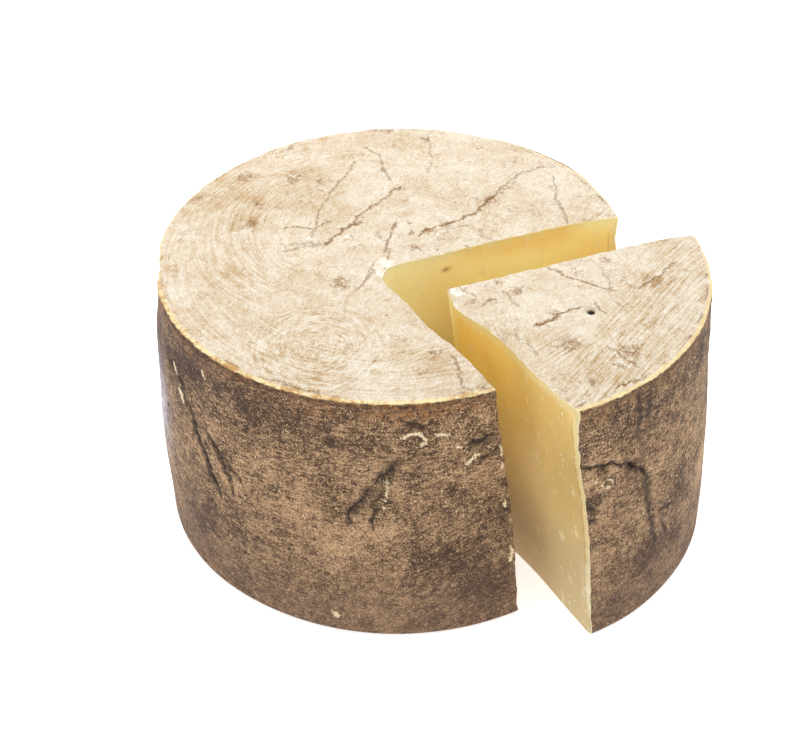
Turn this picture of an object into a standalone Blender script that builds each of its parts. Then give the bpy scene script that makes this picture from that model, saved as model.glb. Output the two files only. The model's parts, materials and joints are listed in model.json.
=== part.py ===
"""A pressed cheese wheel with one deep wedge cut out of it and drawn part of the way out.

Units are metres, +Z is up. The origin is on the table, under the middle of the two pieces' shared box. The wedge
is drawn out along +X. The wheel stands on its flat base, and so does the wedge.
"""

import math

import bmesh
import bpy

# --- Driving dimensions -------------------------------------------------------------------------------------

RIM_RADIUS = 0.1000  # where the top face meets the side
HEIGHT = 0.1263  # at the middle of the slightly domed top
SHOULDER_DROP = 0.0034  # how far the top falls away at the rim
SHOULDER_POWER = 5.3  # flat in the middle, and falling only near the rim
RIM_ROUND = 0.0015  # the soft edge between top and side

# The side, from the rim down: (share of the rim's height, radius). It is a barrel with a faint neck.
SIDE_POINTS = (
    (1.00, 0.1000),
    (0.90, 0.0997),
    (0.75, 0.1005),
    (0.50, 0.1024),
    (0.25, 0.1027),
    (0.05, 0.1020),
)
SIDE_STEPS = 2  # facets between two of those points
FOOT_ROUND = 0.0035  # the rounded edge between side and base
FOOT_STEPS = 4
TOP_RINGS = (0.30, 0.55, 0.72, 0.84, 0.92, 0.97)  # shares of the rim's radius
AROUND = 72  # facets in a full turn

# The two knife cuts meet a little off the wheel's axis. Angles are in plan, from +X.
CUT_MEETS = (-0.0022, -0.0175)
FRONT_CUT = math.radians(-33.0)
BACK_CUT = math.radians(45.6)
NOTCH_LEAN = 0.0112  # how far the front cut has wandered inwards by the base, in the wheel
WEDGE_LEAN = 0.0135  # the same on the wedge, which lost a little more
NOTCH_CORNER = 0.0100  # radius of the wheel's torn inner corner
WEDGE_CORNER = 0.0015  # radius of the wedge's blunt tip
CORNER_STEPS = 6
CUT_REACH = 0.160  # the cutters run well past the side
CUT_MARGIN = 0.020  # and past the top and the base

DRAWN_OUT = 0.0339  # how far the wedge stands out of its notch
WEDGE_TURN = math.radians(-1.07)  # it turned a little as it was drawn

MERGE = 0.00001

# --- Finishes -----------------------------------------------------------------------------------------------


def finish(name, colour, roughness):
    """A Principled material with one colour."""
    material = bpy.data.materials.new(name)
    material.use_nodes = True
    shader = material.node_tree.nodes["Principled BSDF"]
    shader.inputs["Base Color"].default_value = (*colour, 1.0)
    shader.inputs["Roughness"].default_value = roughness
    shader.inputs["Metallic"].default_value = 0.0
    material.diffuse_color = (*colour, 1.0)
    return material


def rind_finish():
    """Dry brown natural rind."""
    return finish("brushed_rind", (0.42, 0.27, 0.17), 0.75)


def paste_finish():
    """Firm yellow cheese, as it shows on a fresh cut."""
    return finish("yellow_paste", (0.86, 0.64, 0.26), 0.5)


# --- Shapes -------------------------------------------------------------------------------------------------


def top_height(radius):
    """Height of the top face at a distance from the wheel's axis."""
    return HEIGHT - SHOULDER_DROP * (radius / RIM_RADIUS) ** SHOULDER_POWER


def side_profile():
    """Points down the side, on a smooth curve through SIDE_POINTS, from just under the rim to above the foot."""
    rim_height = top_height(RIM_RADIUS)
    knots = [(radius, share * rim_height) for share, radius in SIDE_POINTS]
    ends = [knots[0], *knots, knots[-1]]
    points = []
    for a, b, c, d in zip(ends, ends[1:], ends[2:], ends[3:]):
        for step in range(SIDE_STEPS):
            t = step / SIDE_STEPS
            points.append(tuple(catmull_rom(t, *values) for values in zip(a, b, c, d)))
    points.append(knots[-1])
    return points


def catmull_rom(t, a, b, c, d):
    """One coordinate of the smooth curve that runs from b at t = 0 to c at t = 1."""
    return b + 0.5 * t * (c - a + t * (2 * a - 5 * b + 4 * c - d + t * (3 * (b - c) + d - a)))


def wheel_profile():
    """The whole turned outline, from the middle of the top, over the rim and down to the middle of the base."""
    outline = [(0.0, HEIGHT)]
    outline += [(share * RIM_RADIUS, top_height(share * RIM_RADIUS)) for share in TOP_RINGS]
    outline.append((RIM_RADIUS - RIM_ROUND, top_height(RIM_RADIUS - RIM_ROUND)))
    side = side_profile()
    outline.append((side[0][0], side[0][1] - RIM_ROUND))
    outline += side[1:]
    foot_radius = side[-1][0] - FOOT_ROUND
    for step in range(1, FOOT_STEPS + 1):
        angle = math.pi / 2 * step / FOOT_STEPS
        outline.append((foot_radius + FOOT_ROUND * math.cos(angle), FOOT_ROUND * (1 - math.sin(angle))))
    outline.append((0.0, 0.0))
    return outline


def turned_wheel(name):
    """The uncut wheel: its outline spun once round the Z axis."""
    mesh = bpy.data.meshes.new(name)
    bm = bmesh.new()
    points = [bm.verts.new((radius, 0.0, height)) for radius, height in wheel_profile()]
    edges = [bm.edges.new(pair) for pair in zip(points, points[1:])]
    bmesh.ops.spin(
        bm,
        geom=points + edges,
        cent=(0, 0, 0),
        axis=(0, 0, 1),
        angle=math.tau,
        steps=AROUND,
        use_duplicate=False,
    )
    bmesh.ops.remove_doubles(bm, verts=bm.verts, dist=MERGE)
    bmesh.ops.recalc_face_normals(bm, faces=bm.faces)
    bm.to_mesh(mesh)
    bm.free()
    return mesh


def wedge_outline(corner_radius):
    """The plan between the two cuts: a sector whose inner corner is an arc, with straight sides past the rim."""
    opening = BACK_CUT - FRONT_CUT
    middle = (BACK_CUT + FRONT_CUT) / 2
    to_centre = corner_radius / math.sin(opening / 2)
    centre_x = CUT_MEETS[0] + to_centre * math.cos(middle)
    centre_y = CUT_MEETS[1] + to_centre * math.sin(middle)
    outline = []
    for step in range(CORNER_STEPS + 1):
        angle = BACK_CUT + math.pi / 2 + (math.pi - opening) * step / CORNER_STEPS
        outline.append((centre_x + corner_radius * math.cos(angle), centre_y + corner_radius * math.sin(angle)))
    for angle in (FRONT_CUT, middle, BACK_CUT):
        far_x = CUT_MEETS[0] + CUT_REACH * math.cos(angle)
        far_y = CUT_MEETS[1] + CUT_REACH * math.sin(angle)
        outline.append((far_x, far_y))
    return outline


def knife_prism(name, corner_radius, lean):
    """A cutter as tall as the wheel. It slides along the back cut as it rises, so only its front cut leans."""
    along_back = lean / math.sin(BACK_CUT - FRONT_CUT) / HEIGHT
    slope = (-along_back * math.cos(BACK_CUT), -along_back * math.sin(BACK_CUT))
    mesh = bpy.data.meshes.new(name)
    bm = bmesh.new()
    lowest = []
    for x, y in wedge_outline(corner_radius):
        # The outline is true at the top of the wheel.
        drop = HEIGHT + CUT_MARGIN
        lowest.append(bm.verts.new((x - slope[0] * drop, y - slope[1] * drop, -CUT_MARGIN)))
    floor = bm.faces.new(lowest)
    risen = bmesh.ops.extrude_face_region(bm, geom=[floor])["geom"]
    rise = HEIGHT + 2 * CUT_MARGIN
    tops = [item for item in risen if isinstance(item, bmesh.types.BMVert)]
    bmesh.ops.translate(bm, verts=tops, vec=(slope[0] * rise, slope[1] * rise, rise))
    bmesh.ops.recalc_face_normals(bm, faces=bm.faces)
    bm.to_mesh(mesh)
    bm.free()
    cutter = bpy.data.objects.new(name, mesh)
    bpy.context.collection.objects.link(cutter)
    cutter.hide_render = True
    cutter.display_type = "WIRE"
    return cutter


def cut_piece(name, cutter, operation, material, location, turn):
    """A turned wheel with one live Boolean, standing in its place."""
    mesh = turned_wheel(name)
    mesh.materials.append(material)
    mesh.shade_smooth()
    mesh.set_sharp_from_angle(angle=math.radians(40))
    piece = bpy.data.objects.new(name, mesh)
    bpy.context.collection.objects.link(piece)
    cutter.parent = piece
    cut = piece.modifiers.new("knife_cuts", "BOOLEAN")
    cut.operation = operation
    cut.solver = "EXACT"
    cut.object = cutter
    piece.location = location
    piece.rotation_euler = (0.0, 0.0, turn)
    return piece


# --- Pieces -------------------------------------------------------------------------------------------------


def make_wheel():
    """The wheel, less its wedge."""
    notch = knife_prism("notch_cutter", NOTCH_CORNER, NOTCH_LEAN)
    return cut_piece("wheel", notch, "DIFFERENCE", rind_finish(), (-DRAWN_OUT / 2, 0.0, 0.0), 0.0)


def make_wedge():
    """The wedge, drawn out along +X and still standing on its base."""
    keep = knife_prism("wedge_keeper", WEDGE_CORNER, WEDGE_LEAN)
    return cut_piece("wedge", keep, "INTERSECT", paste_finish(), (DRAWN_OUT / 2, 0.0, 0.0), WEDGE_TURN)


def main():
    for item in list(bpy.data.objects):
        bpy.data.objects.remove(item, do_unlink=True)
    make_wheel()
    make_wedge()


main()
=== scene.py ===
# %% [markdown]
# # A farmhouse cheese wheel with one wedge drawn out
# The real thing is one pressed cheese with a dry, brushed rind, cut twice with a long knife. So the
# scene makes it in the same order: a whole wheel is turned, its rind is weathered, and only then do
# two knives cut the notch and the wedge out of it. Marks that cross a cut then carry on over it, and
# the cut edges get their crumbly outline from the rind itself.

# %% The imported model, and its box
import json
import math
from types import SimpleNamespace

import bpy
import numpy as np
from mathutils import Matrix, Vector, bvhtree, noise

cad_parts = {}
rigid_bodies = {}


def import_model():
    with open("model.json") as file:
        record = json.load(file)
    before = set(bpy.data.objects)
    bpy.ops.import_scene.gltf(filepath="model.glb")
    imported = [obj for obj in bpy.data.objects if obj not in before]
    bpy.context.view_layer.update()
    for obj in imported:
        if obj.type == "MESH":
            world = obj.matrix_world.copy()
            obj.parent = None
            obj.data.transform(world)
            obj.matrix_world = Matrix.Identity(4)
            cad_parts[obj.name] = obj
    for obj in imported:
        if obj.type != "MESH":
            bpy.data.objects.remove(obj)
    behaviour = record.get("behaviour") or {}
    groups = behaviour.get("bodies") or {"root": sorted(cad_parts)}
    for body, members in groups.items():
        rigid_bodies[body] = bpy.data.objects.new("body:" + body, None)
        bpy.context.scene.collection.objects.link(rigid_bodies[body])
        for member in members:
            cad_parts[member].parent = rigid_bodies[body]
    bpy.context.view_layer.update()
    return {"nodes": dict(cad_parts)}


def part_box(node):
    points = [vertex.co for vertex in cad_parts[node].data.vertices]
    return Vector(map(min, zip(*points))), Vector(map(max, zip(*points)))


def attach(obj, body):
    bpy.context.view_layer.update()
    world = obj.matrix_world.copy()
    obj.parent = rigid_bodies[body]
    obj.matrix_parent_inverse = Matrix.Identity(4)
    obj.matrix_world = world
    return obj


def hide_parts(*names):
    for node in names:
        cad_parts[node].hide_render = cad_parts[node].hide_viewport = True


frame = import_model()


def deselect_all():
    """Nothing is selected, so that the next operator acts only on what is picked for it."""
    for item in bpy.context.view_layer.objects:
        item.select_set(False)


deselect_all()
print("CAD nodes:", sorted(frame["nodes"]))

# %% [markdown]
# ## Sizes
# The wheel's belly, height and place, and how far the wedge is drawn out, come from the imported
# wheel's own box, and the rim radius is a share of the belly; the other sizes are given in
# millimetres. The work is done in millimetres about the wheel's own axis, where the cheese was before
# its wedge was drawn out. That place is called home here. A piece goes to its final place at the very end.

# %% Sizes, in millimetres
MM = 1000.0
wheel_low, wheel_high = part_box("wheel")
belly = (wheel_high[1] - wheel_low[1]) / 2 * MM
height = wheel_high[2] * MM
axis_x = wheel_low[0] * MM + belly
drawn_out = -2 * axis_x
wedge_turn = math.radians(-1.07)

rim = 0.9736 * belly  # radius where the top meets the side
shoulder_drop = 3.4  # how far the top falls away at the rim
shoulder_power = 5.3
rim_height = height - shoulder_drop
foot_round = 3.5
meets = Vector((-2.2, -17.5))  # where the two cuts would meet, in plan
front_cut = math.radians(-33.0)
back_cut = math.radians(45.6)
opening = back_cut - front_cut
notch_lean = 11.2  # the front cut wanders inwards by this much on its way down
wedge_lean = 13.5
print(f"rim radius {rim:.1f}, belly {belly:.1f}, height {height:.1f}, drawn out {drawn_out:.1f} mm")

# %% [markdown]
# ## The blank
# A wheel is a turned shape, so its outline is drawn once, as a string of points in the XZ plane, and
# spun round the Z axis. The outline is resampled to even steps of about a millimetre, because the
# weathering below moves each point by itself and needs the same fineness everywhere.

# %% The outline of the wheel


def top_height(radius):
    """Height of the slightly domed top at a distance from the axis."""
    return height - shoulder_drop * (radius / rim) ** shoulder_power


def smooth_line(knots, step):
    """Points about a step apart on a Catmull-Rom curve through the knots."""
    knots = np.array(knots, float)
    ends = np.vstack([2 * knots[0] - knots[1], knots, 2 * knots[-1] - knots[-2]])
    points = []
    for a, b, c, d in zip(ends, ends[1:], ends[2:], ends[3:]):
        count = max(1, round(np.linalg.norm(c - b) / step))
        for t in np.arange(count) / count:
            bend = t * (2 * a - 5 * b + 4 * c - d + t * (3 * (b - c) + d - a))
            points.append(b + 0.5 * t * (c - a + bend))
    return np.array([*points, knots[-1]])


def wheel_outline(step):
    """The profile (radius, height), from the middle of the top over the rim to the middle of the base."""
    soft_rim = [rim - 1.7, rim - 0.9, rim - 0.35] if step < 2.0 else []
    top_radii = np.append(np.arange(0.0, rim - 2.0, step), soft_rim)
    top = [(radius, top_height(radius)) for radius in top_radii]
    barrel = [(1.0, 1.0), (0.9, 0.9967), (0.75, 1.005), (0.5, 1.024), (0.25, 1.0272), (0.05, 1.02)]
    knots = [(rim * radius, rim_height * share) for share, radius in barrel]
    knots[0] = (rim, rim_height - 0.6)
    side = smooth_line(knots, step)
    turn = np.linspace(0, math.pi / 2, 7)[1:]
    centre = side[-1][0] - foot_round
    edge = np.column_stack([centre + foot_round * np.cos(turn), foot_round * (1 - np.sin(turn))])
    base = [(radius, 0.0) for radius in np.linspace(edge[-1][0], 0.0, 14)[1:]]
    return np.vstack([top, side, edge, base])


FINE = 1.2  # millimetres between points
outline = wheel_outline(FINE)
print(f"outline of {len(outline)} points")

# %% Spinning it


def new_object(name, points, edges):
    """An object from points in millimetres, which is then the only one selected."""
    mesh = bpy.data.meshes.new(name)
    mesh.from_pydata([tuple(point) for point in points], edges, [])
    made = bpy.data.objects.new(name, mesh)
    bpy.context.collection.objects.link(made)
    deselect_all()
    made.select_set(True)
    bpy.context.view_layer.objects.active = made
    return made


def edit_all(operator, **settings):
    """Runs one edit-mode operator on the whole of the selected object."""
    bpy.ops.object.mode_set(mode="EDIT")
    bpy.ops.mesh.select_all(action="SELECT")
    operator(**settings)
    bpy.ops.object.mode_set(mode="OBJECT")


def turned_blank(name, outline, around):
    """The whole wheel, screwed round from its outline, with its seam and its two poles closed."""
    chain = [(radius, 0.0, z) for radius, z in outline]
    blank = new_object(name, chain, [(i, i + 1) for i in range(len(chain) - 1)])
    screw = blank.modifiers.new("turn", "SCREW")
    screw.angle = math.tau
    screw.steps = around
    screw.render_steps = around
    screw.use_merge_vertices = True
    screw.merge_threshold = 0.003
    bpy.ops.object.modifier_apply(modifier=screw.name)
    edit_all(bpy.ops.mesh.normals_make_consistent, inside=False)
    return blank


AROUND = 512  # steps in a full turn
blank = turned_blank("blank", outline, AROUND)
print(f"blank: {len(blank.data.polygons)} faces")

# %% [markdown]
# ## Weathering the rind
# A natural rind dries, shrinks and is brushed for months. It cracks along wandering lines, and flakes
# and small pits form on the side. Displacement textures could roughen it, but the cracks have places
# of their own, so each one is a short line of points, and every point of the mesh is moved by its
# distance to the nearest line. Soft noise breaks the lines up so that none looks drawn.

# %% Reading and moving points


def read_points(item, what="co"):
    """The object's points, or their normals, as an array."""
    flat = np.empty(len(item.data.vertices) * 3, np.float32)
    item.data.vertices.foreach_get(what, flat)
    return flat.reshape(-1, 3).astype(float)


def write_points(item, points):
    """Puts the object's points where the array says."""
    item.data.vertices.foreach_set("co", points.astype(np.float32).ravel())
    item.data.update()


# %% Measures on the blank


def ripple(points, size, seed, octaves=1):
    """Smooth noise from about -1 to 1, with bumps of about this size."""
    shift = np.array([17.3, 5.1, 9.7]) * seed
    total = np.zeros(len(points))
    for octave in range(octaves):
        scaled = (points * (2**octave / size) + shift).tolist()
        total += np.array([noise.noise(place) for place in scaled]) / 2**octave
    return total


def gap_to_line(flat, line):
    """Distance from each flat point to a string of points, negative on the line's right."""
    line = np.array(line, float)
    nearest = np.full(len(flat), 1e6)
    for a, b in zip(line, line[1:]):
        run = b - a
        away = flat - a
        share = np.clip((away @ run) / (run @ run), 0.0, 1.0)
        gap = np.linalg.norm(away - share[:, None] * run, axis=1)
        left = np.where(run[0] * away[:, 1] - run[1] * away[:, 0] < 0, -1.0, 1.0)
        nearest = np.where(gap < np.abs(nearest), gap * left, nearest)
    return nearest


def bell(distance, width):
    """1 at the middle, fading out over about two widths."""
    return np.exp(-((distance / width) ** 2))


def fade(value, low, high):
    """0 below low and 1 above high, with a smooth step between."""
    share = np.clip((value - low) / (high - low), 0.0, 1.0)
    return share * share * (3 - 2 * share)


def from_rim(points):
    """Distance along the outline from the rim: inwards over the top is positive, down the side negative."""
    radius = np.hypot(points[:, 0], points[:, 1])
    return (rim - radius) - (rim_height - points[:, 2])


def unrolled(points):
    """The side laid flat: (millimetres round the rim, height)."""
    return np.column_stack([np.arctan2(points[:, 1], points[:, 0]) * rim, points[:, 2]])


# %% Cracks of the top
# Each is (depth, half width, line). Those of the top are in plan, from the axis.
top_cracks = [
    (1.0, 1.0, [(-28, -8), (-27, -3), (-26, 1), (-26, 6), (-24, 10), (-21, 12)]),
    (0.7, 1.1, [(-24, 11), (-24, 16), (-23, 21), (-22, 26), (-20, 31), (-19, 37), (-17, 43)]),
    (0.5, 1.0, [(-28, -8), (-32, -11), (-36, -13), (-41, -18)]),
    (0.4, 0.9, [(-30, -9), (-35, -9), (-40, -12), (-45, -14)]),
    (0.6, 1.0, [(-49, -3), (-46, -1), (-41, 0), (-38, 1), (-36, 4), (-34, 7)]),
    (0.4, 1.1, [(-38, 1), (-36, -3), (-35, -8)]),
    (0.5, 0.9, [(-38, 4), (-40, 10), (-42, 18), (-42, 24), (-43, 34), (-43, 45), (-44, 56)]),
    (0.8, 1.1, [(6, 14), (7, 18), (9, 22)]),
    (0.9, 1.2, [(12, 25), (14, 28), (17, 32), (20, 36), (22, 42), (23, 48), (23, 55)]),
    (0.6, 1.1, [(23, 55), (24, 62), (25, 69), (27, 76), (30, 81), (35, 86), (40, 90)]),
    (0.4, 0.8, [(25, 57), (27, 63), (28, 68)]),
    (0.4, 0.8, [(15, 20), (17, 24), (20, 28), (23, 30), (27, 27), (30, 24), (35, 23)]),
    (0.3, 0.8, [(14, 14), (18, 17), (21, 19)]),
    (0.7, 1.1, [(-7, 18), (-6, 12), (-5, 7), (-4, 2), (-3, -3)]),
    (0.4, 0.9, [(-12, 10), (-8, 5)]),
    (0.4, 0.9, [(-1, 0), (0, -4), (1, -8)]),
    (0.6, 0.9, [(-3, -13), (-2, -18), (-1, -24), (-2, -30)]),
    (0.2, 0.8, [(-2, -30), (-3, -38), (-1, -45)]),
    (0.5, 1.0, [(40, 80), (43, 75), (46, 70), (49, 63), (53, 57), (57, 51), (60, 48)]),
    (0.4, 1.2, [(-23, 90), (-20, 83), (-15, 73), (-12, 66), (-10, 60)]),
    (0.5, 1.2, [(-44, 68), (-39, 66), (-36, 64), (-32, 58), (-29, 53), (-25, 49), (-23, 47)]),
    (0.6, 1.1, [(51, -57), (54, -60), (57, -64), (60, -68), (63, -71)]),
    (0.6, 0.9, [(65, -71), (68, -68), (72, -66)]),
    (0.5, 1.0, [(-9, -95), (-2, -96), (6, -96), (11, -95)]),
    (0.6, 1.0, [(28, 14), (35, 12), (42, 10), (50, 10), (55, 9), (60, 10)]),
    (0.4, 0.9, [(59, 9), (58, 13), (54, 18), (50, 23)]),
    (0.9, 1.2, [(41, -24), (44, -20), (46, -17), (47, -14), (49, -10), (52, -7)]),
    (0.6, 0.9, [(57, -1), (59, -3), (63, -6)]),
    (0.4, 0.9, [(65, 3), (68, 1), (70, -1)]),
    (0.7, 1.1, [(16, -21), (17, -18), (19, -16)]),
    (0.4, 0.9, [(5, -15), (12, -18)]),
    (0.4, 0.9, [(20, -9), (25, -13), (30, -16)]),
    (0.4, 0.9, [(36, -33), (39, -37)]),
    (0.4, 0.9, [(42, -36), (46, -40), (49, -42)]),
    (0.7, 1.4, [(70, 20), (72, 24), (74, 28), (75, 34), (76, 40)]),
    (0.5, 1.0, [(73, -26), (78, -28), (82, -29), (87, -31)]),
    (0.7, 1.2, [(84, -45), (87, -41), (90, -37), (91, -35)]),
    (0.6, 1.0, [(73, -64), (75, -61)]),
]
print(len(top_cracks), "cracks on the top")

# %% Cracks of the side, as (angle in degrees, height)
side_cracks = [
    (0.7, 0.9, [(-66, 92), (-69, 88), (-71, 83), (-73, 77), (-76, 69), (-76, 64)]),
    (0.6, 0.8, [(-66, 89), (-67.5, 84), (-69, 79), (-71, 73)]),
    (1.0, 1.0, [(-70, 71), (-71, 66), (-71, 63)]),
    (1.3, 1.6, [(-132, 100), (-129, 98), (-125, 95)]),
    (0.9, 1.2, [(-123, 88), (-120, 80), (-117, 75), (-115, 70), (-113, 64), (-112, 60), (-111, 55)]),
    (0.9, 1.0, [(-115, 82), (-112, 79), (-110, 75), (-108, 70), (-106, 60)]),
    (0.8, 1.0, [(-110, 78), (-107, 73), (-104, 69)]),
    (0.7, 1.0, [(-120, 83), (-121, 75)]),
    (0.8, 1.1, [(-48, 100), (-44, 101)]),
    (0.9, 1.1, [(-45, 92), (-42, 93)]),
    (0.7, 1.2, [(-62, 114), (-59, 111), (-57, 114)]),
    (2.2, 1.5, [(-41, 95), (-39, 93), (-37, 92), (-32, 91), (-29, 88), (-26, 86), (-23, 81)]),
    (2.6, 2.2, [(-26, 85), (-24, 82), (-22, 79)]),
    (0.15, 1.8, [(-22, 78), (-21, 70), (-21, 62), (-20, 55), (-19, 46), (-17, 36)]),
    (0.2, 1.8, [(-24, 117), (-23, 108), (-24, 99)]),
    (0.2, 1.4, [(-21, 117), (-21, 108), (-19, 96)]),
    (0.3, 1.1, [(-27, 118), (-27, 108)]),
    (0.5, 1.3, [(-38, 73), (-36, 71)]),
    (0.6, 1.2, [(-38, 67), (-36, 66)]),
    (0.8, 1.4, [(-14, 42), (-13, 36)]),
    (0.7, 1.2, [(-16, 51), (-12, 49)]),
    (0.8, 1.2, [(22, 96), (27, 88), (30, 78), (31, 70)]),
    (1.0, 1.3, [(78, 104), (84, 97), (92, 94), (97, 86)]),
    (0.8, 1.2, [(96, 62), (101, 52), (103, 41)]),
    (0.9, 1.2, [(136, 88), (139, 79), (145, 72), (147, 60)]),
    (0.8, 1.1, [(160, 40), (166, 48), (174, 51)]),
    (1.1, 1.4, [(-166, 98), (-160, 93), (-157, 85)]),
]
print(len(side_cracks), "cracks on the side")

# %% Stains, flakes and smudges
# Brown stains and chalky patches of the top, each (x, y, size).
top_stains = [
    (-9, -31, 8), (86, -43, 3), (89, -39, 3), (91, -36, 3), (-42, 88, 6), (-23, 86, 5), (-17, 43, 4),
    (-30, 53, 4), (-76, 57, 4), (-52, 35, 4), (-95, 5, 6), (-63, 33, 8), (16, -43, 3), (8, 5, 4),
    (44, -57, 5), (45, -70, 3), (13, 26, 5), (23, 50, 6), (8, 19, 4), (-68, 8, 6), (-64, -6, 7),
    (-84, 28, 7), (2, 15, 3), (-2, 21, 3), (18, -17, 4), (12, -21, 3), (25, -6, 6), (46, -15, 5),
    (58, -30, 9), (74, -48, 4), (85, -30, 4), (78, -34, 3), (81, -34, 3), (73, 24, 7), (50, 29, 5),
    (16, -5, 3), (42, -23, 4), (81, -24, 8),
]
top_flakes = [(2, -10, 4), (-1, -9, 3), (1, -17, 3), (4, -18, 3), (-36, -6, 2), (-22, 1, 2), (13, 17, 2)]

# Pale flakes and dark smudges of the side, each (half width, line of (angle, height)).
side_flakes = [
    (0.9, [(-67.5, 85), (-68, 79), (-68.5, 71)]),
    (1.0, [(-64, 106), (-62, 109), (-59, 108), (-58, 104), (-60, 102)]),
    (1.0, [(-56, 107), (-53, 106)]),
    (1.2, [(-49, 91), (-46, 94)]),
    (1.0, [(-51, 99), (-49, 100)]),
    (2.4, [(-127, 91), (-126, 87)]),
    (1.8, [(-130, 101), (-129, 98)]),
    (1.1, [(-116, 113), (-115, 110)]),
    (1.4, [(-81, 12), (-80, 9)]),
    (0.9, [(-41, 95), (-40.8, 91)]),
    (1.0, [(-41, 87), (-40.9, 83)]),
    (1.4, [(-38.6, 41), (-38.4, 34)]),
    (0.9, [(-40.2, 66), (-40.1, 62)]),
    (1.1, [(88, 101), (94, 96)]),
    (1.0, [(139, 83), (142, 77)]),
    (1.0, [(-163, 92), (-160, 86)]),
    (1.0, [(103, 48), (104, 42)]),
]
side_smudges = [
    (2.3, [(-65, 95), (-70, 84), (-75, 70)]),
    (1.8, [(-132, 101), (-127, 95), (-124, 88)]),
    (1.6, [(-120, 82), (-116, 70), (-112, 58)]),
    (1.6, [(-113, 80), (-108, 68)]),
    (1.7, [(-24, 118), (-23, 108), (-24, 98)]),
    (1.3, [(-20, 117), (-20, 106)]),
    (1.9, [(-22, 79), (-21, 66), (-19, 48), (-17, 37)]),
    (3.6, [(-26, 85), (-24, 83)]),
    (1.6, [(-40, 76), (-36, 70), (-38, 66)]),
    (1.6, [(-48, 99), (-43, 101)]),
    (2.0, [(-80, 104), (-80, 102)]),
    (1.3, [(-102, 97), (-102, 96)]),
    (1.3, [(-80, 75), (-80, 74)]),
    (2.0, [(78, 104), (88, 95)]),
    (2.2, [(-150, 60), (-147, 48)]),
    (2.0, [(30, 84), (31, 66)]),
    (2.2, [(150, 70), (147, 56)]),
]

# %% Broad patches and swellings
# Lighter (+) and darker (-) patches: (x, y, size, tone) and (angle, height, size, tone).
top_tones = [
    (-92, 12, 12, -0.9), (-74, 14, 22, -0.9), (-62, -12, 14, -0.7), (-60, -36, 13, -0.6),
    (-58, 42, 13, -0.7), (-5, -80, 17, -0.7), (74, 14, 10, -1.0), (77, -42, 13, -1.1),
    (46, -60, 9, -0.9), (78, 32, 8, -0.6), (-30, -72, 12, -0.5), (14, 1, 8, 1.0), (30, 15, 8, 1.0),
    (2, -14, 7, 0.8), (46, 28, 8, 0.8), (0, 74, 9, 0.6), (44, 76, 9, 0.6), (32, -18, 8, 0.6),
    (-2, 32, 8, 0.5), (46, -8, 7, 0.5), (60, -18, 6, 0.5), (-30, 30, 8, 0.4), (24, -78, 6, 0.4),
]
side_tones = [
    (-150, 78, 16, -1.2), (-145, 96, 13, -0.9), (-128, 106, 12, -0.8), (-20, 34, 8, -1.2),
    (-6, 62, 6, -1.0), (-36, 76, 4, -1.0), (12, 44, 12, 0.8), (8, 14, 9, 0.7), (-30, 114, 4, -0.8),
    (-104, 96, 10, -0.7), (-97, 84, 7, 0.6), (-52, 112, 5, 0.7), (-44, 28, 8, -0.7),
    (-106, 40, 9, -0.6), (-68, 76, 5, -0.8), (-118, 38, 14, -1.1), (-122, 24, 11, -0.8),
    (-52, 40, 14, -1.2), (-45, 20, 11, -1.0), (-43, 60, 9, -0.9), (-120, 110, 13, -1.0),
    (-100, 110, 10, -0.9), (-88, 113, 7, -0.8), (-112, 60, 8, -0.6), (-160, 76, 9, -1.0),
    (-60, 44, 8, -0.8), (-106, 14, 9, -0.6), (-79, 76, 6, -0.6), (-52, 76, 6, -0.6),
    (-133, 98, 9, -0.7), (-79, 50, 10, 1.1), (-106, 67, 8, 1.1), (-88, 65, 7, 0.7), (-70, 60, 8, 0.9),
    (-70, 84, 7, 0.8), (-68, 112, 6, 0.7), (-52, 102, 5, 0.7), (-44, 111, 7, 0.7), (-142, 30, 15, 0.5),
    (-36, 84, 9, 0.8), (-70, 14, 8, 0.4), (-20, 26, 9, -1.0), (-9, 50, 8, -1.0), (-10, 29, 8, -0.9),
    (-24, 98, 6, -0.7), (-15, 68, 5, -0.5), (2, 8, 9, -0.6), (-37, 74, 4, -0.6), (4, 112, 7, -0.8),
    (-30, 14, 9, -0.5), (8, 44, 9, 1.0), (-34, 100, 6, 0.7), (-30, 88, 4, 0.8), (-18, 75, 5, 0.6),
    (15, 30, 9, 0.5), (-18, 44, 5, 0.4), (40, 70, 14, -0.7), (62, 30, 13, 0.7), (80, 90, 12, -0.8),
    (104, 60, 14, 0.6), (124, 30, 12, -0.9), (140, 84, 14, 0.6), (158, 50, 14, -0.8),
    (-176, 90, 13, 0.5), (-172, 28, 14, -0.8), (24, 108, 8, -0.6),
]
# The wheel isn't quite round, and swells in places: (angle, height, size, how far it stands out).
swells = [
    (-100, 2, 45, -0.9), (-142, 6, 30, -0.7), (66, 120, 20, 1.9), (82, 118, 16, 1.2),
    (43, 112, 7, -1.6), (-158, 88, 17, 1.6), (-153, 120, 11, -2.0), (0, 108, 24, 1.1),
    (20, 104, 22, 1.0), (-134, 96, 10, 0.7), (-25, 12, 18, 0.5), (102, 121, 14, 0.7),
]
knot = (-33, 82)  # a rosette of torn rind on the wedge's side
eye_on_top = (57.5, -6.7)  # a small hole straight down into the top of the wedge
print(len(top_tones) + len(side_tones), "patches and", len(swells), "swellings")

# %% [markdown]
# Now every point of the blank is moved along its own normal. The same sums also say how dark or
# flaked a place is, so they are kept in one function: it moves the blank now, and after the cuts it
# is asked again for the colours.

# %% How deep, how dark and how flaked each place is


def on_side(line):
    """A line of (angle, height) in unrolled millimetres."""
    return [(math.radians(angle) * rim, z) for angle, z in line]


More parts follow.
